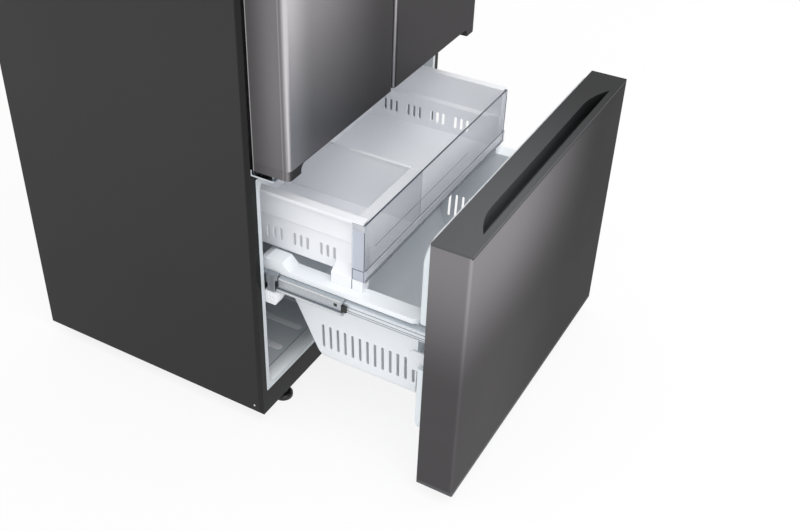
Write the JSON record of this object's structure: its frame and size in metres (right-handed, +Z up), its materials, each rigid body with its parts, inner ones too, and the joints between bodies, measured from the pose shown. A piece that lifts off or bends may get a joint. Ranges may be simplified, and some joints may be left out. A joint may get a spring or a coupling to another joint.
{
  "type": "bottom freezer refrigerator",
  "caption": "Tall refrigerator with a pair of upper doors over a pull-out freezer drawer that holds a slotted basket and a sliding tray.",
  "frame": {"origin": "centre of the whole part's box at the floor, with the drawer standing open as modelled", "axes": "+X to the right seen from the front, +Y to the back, +Z up"},
  "size_m": [0.908, 1.277, 1.7763],
  "materials": {
    "case_paint": "satin charcoal paint with a fine grain",
    "dark_stainless": "dark tinted stainless, fine brushing, smudge resistant",
    "dark_cap": "matt dark grey moulding",
    "white_liner": "formed white sheet, soft gloss",
    "white_plastic": "white moulding, soft gloss",
    "basket_plastic": "cool white moulding, slightly see-through",
    "tray_plastic": "cool white moulding",
    "clear_plastic": "clear moulding",
    "shelf_glass": "clear tempered glass",
    "pale_rubber": "soft grey-white seal",
    "zinc_steel": "zinc-plated rolled steel",
    "bracket_steel": "plated pressed steel",
    "bright_steel": "bright plated steel",
    "galvanised_sheet": "plain coated sheet",
    "black_plastic": "black moulding",
    "black_rubber": "black rubber",
    "black_enamel": "gloss black enamel",
    "coil_metal": "bare aluminium fins and tube",
    "foam": "rigid foam"
  },
  "bodies": {
    "cabinet": {"outer_case": "case_paint", "back_panel": "galvanised_sheet", "insulation": "foam", "freezer_liner": "white_liner", "fridge_liner": "white_liner", "mullion_cover": "case_paint", "base_frame": "case_paint", "front_feet": "black_plastic", "compressor": "black_enamel", "compressor_grommets": "black_rubber", "condenser": "coil_metal", "fan_shroud": "black_plastic", "drain_pan": "black_plastic", "machine_cover": "galvanised_sheet", "power_inlet": "black_plastic", "evaporator": "coil_metal", "evaporator_cover": "white_liner", "rails_outer": "zinc_steel", "rail_brackets": "bracket_steel", "rail_caps": "white_plastic", "tray_runners": "white_plastic", "centre_hinges": "bright_steel", "top_hinges": "bright_steel", "hinge_covers": "dark_cap", "shelf_ladders": "bright_steel", "shelf_frames": "white_plastic", "shelf_glass": "shelf_glass", "crisper_cover": "shelf_glass", "crisper_left": "clear_plastic", "crisper_right": "clear_plastic", "air_duct": "white_plastic"},
    "rear_rollers": {"rear_rollers": "black_plastic"},
    "condenser_fan": {"condenser_fan": "black_plastic"},
    "evaporator_fan": {"evaporator_fan": "white_plastic"},
    "left_door": {"door_skin_left": "dark_stainless", "door_bottom_cap_left": "dark_cap", "door_top_cap_left": "dark_cap", "door_liner_left": "white_liner", "door_gasket_left": "pale_rubber", "door_bins_left": "clear_plastic"},
    "right_door": {"door_skin_right": "dark_stainless", "door_bottom_cap_right": "dark_cap", "door_top_cap_right": "dark_cap", "door_liner_right": "white_liner", "door_gasket_right": "pale_rubber", "door_bins_right": "clear_plastic"},
    "mullion_flap": {"mullion_flap": "dark_cap"},
    "drawer": {"drawer_skin": "dark_stainless", "drawer_top_cap": "dark_cap", "drawer_bottom_cap": "dark_cap", "drawer_liner": "white_liner", "drawer_gasket": "pale_rubber", "rails_inner": "zinc_steel", "freezer_basket": "basket_plastic", "basket_clips": "white_plastic"},
    "rail_middle": {"rails_middle": "zinc_steel", "rail_bumpers": "black_plastic"},
    "tray": {"tray_body": "tray_plastic", "tray_front": "clear_plastic", "tray_divider": "white_plastic"}
  },
  "joints": [
    {"name": "left_door_hinge", "type": "hinge", "parent": "cabinet", "child": "left_door", "pos_m": [-0.435, -0.1485, 1.25], "axis": [0, 0, -1], "range_deg": [0, 120]},
    {"name": "right_door_hinge", "type": "hinge", "parent": "cabinet", "child": "right_door", "pos_m": [0.435, -0.1485, 1.25], "axis": [0, 0, 1], "range_deg": [0, 120]},
    {"name": "flap_hinge", "type": "hinge", "parent": "left_door", "child": "mullion_flap", "pos_m": [-0.061, -0.089, 1.25], "axis": [0, 0, 1], "range_deg": [0, 90]},
    {"name": "drawer_slide", "type": "slide", "parent": "cabinet", "child": "drawer", "axis": [0, 1, 0], "range_m": [0, 0.436]},
    {"name": "rail_slide", "type": "slide", "parent": "cabinet", "child": "rail_middle", "axis": [0, 1, 0], "range_m": [0, 0.218]},
    {"name": "tray_slide", "type": "slide", "parent": "cabinet", "child": "tray", "axis": [0, 1, 0], "range_m": [0, 0.2965]},
    {"name": "roller_spin", "type": "hinge", "parent": "cabinet", "child": "rear_rollers", "pos_m": [0, 0.5725, 0.018], "axis": [1, 0, 0], "continuous": true},
    {"name": "condenser_fan_spin", "type": "hinge", "parent": "cabinet", "child": "condenser_fan", "pos_m": [-0.04, 0.529, 0.1263], "axis": [1, 0, 0], "continuous": true},
    {"name": "evaporator_fan_spin", "type": "hinge", "parent": "cabinet", "child": "evaporator_fan", "pos_m": [0, 0.5325, 0.6665], "axis": [0, 1, 0], "continuous": true}
  ],
  "couplings": [
    {"joint": "rail_slide", "follows": "drawer_slide", "ratio": 0.5},
    {"joint": "tray_slide", "follows": "drawer_slide", "ratio": 0.68}
  ]
}
